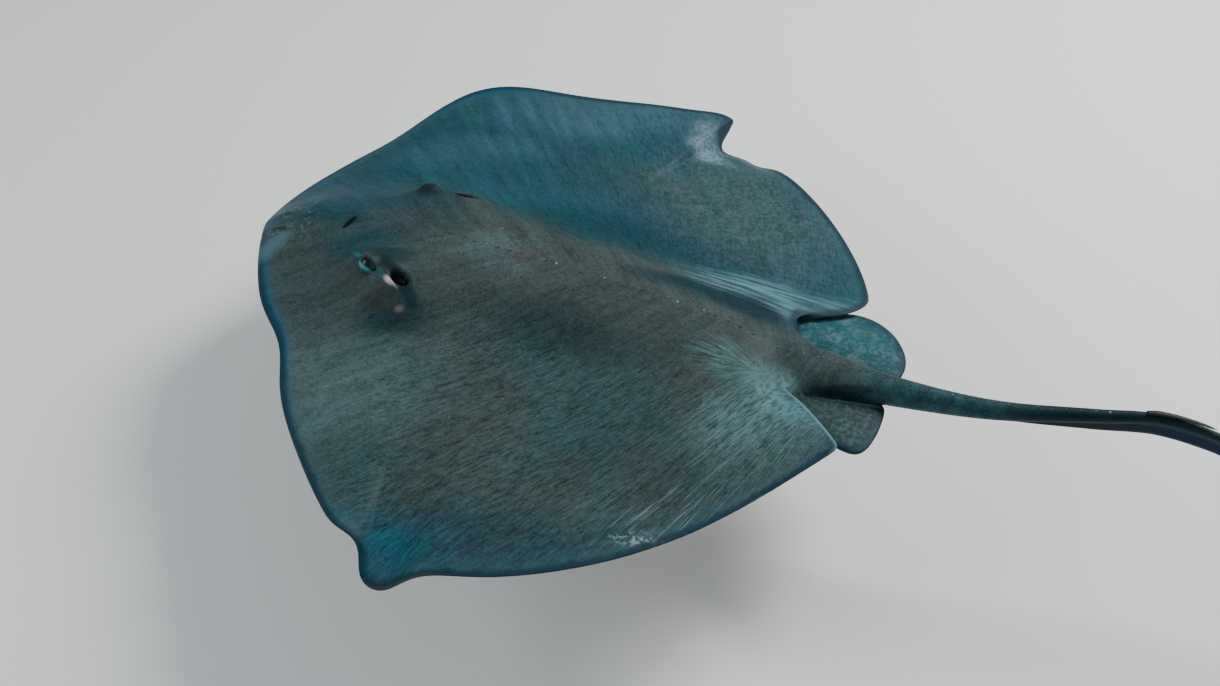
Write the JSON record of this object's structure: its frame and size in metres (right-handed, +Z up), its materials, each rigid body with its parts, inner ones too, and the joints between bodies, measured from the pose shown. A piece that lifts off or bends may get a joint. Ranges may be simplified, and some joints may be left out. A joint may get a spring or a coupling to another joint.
{
  "type": "stingray",
  "caption": "Life-size display model of a whiptail stingray in mid-glide: broad flat disc with flexed wings, pelvic fins, raised eyes and a long whip tail with a sting, on a plain stand.",
  "frame": {"origin": "centre of the underside of the round foot of the stand, on the ground", "axes": "snout towards -X and tail towards +X, the ray's right wing towards +Y, back up along +Z"},
  "size_m": [2.2392, 0.9953, 0.2911],
  "materials": {
    "skin_head": "wet satin skin",
    "skin_trunk": "wet satin skin",
    "skin_wing": "wet satin skin",
    "skin_tail": "wet satin skin",
    "skin_pelvic": "wet satin skin",
    "eye": "wet gloss",
    "sting": "matt bone",
    "stand_base": "satin black",
    "stand_rod": "brushed"
  },
  "bodies": {
    "root": {"head": "skin_head", "trunk": "skin_trunk", "wing_right_inner": "skin_wing", "wing_right_outer": "skin_wing", "wing_left_inner": "skin_wing", "wing_left_outer": "skin_wing", "tail_1": "skin_tail", "tail_2": "skin_tail", "tail_3": "skin_tail", "tail_4": "skin_tail", "pelvic_right": "skin_pelvic", "pelvic_left": "skin_pelvic", "eye_right": "eye", "eye_left": "eye", "sting": "sting", "stand_base": "stand_base", "stand_rod_1": "stand_rod", "stand_rod_2": "stand_rod"}
  },
  "joints": []
}
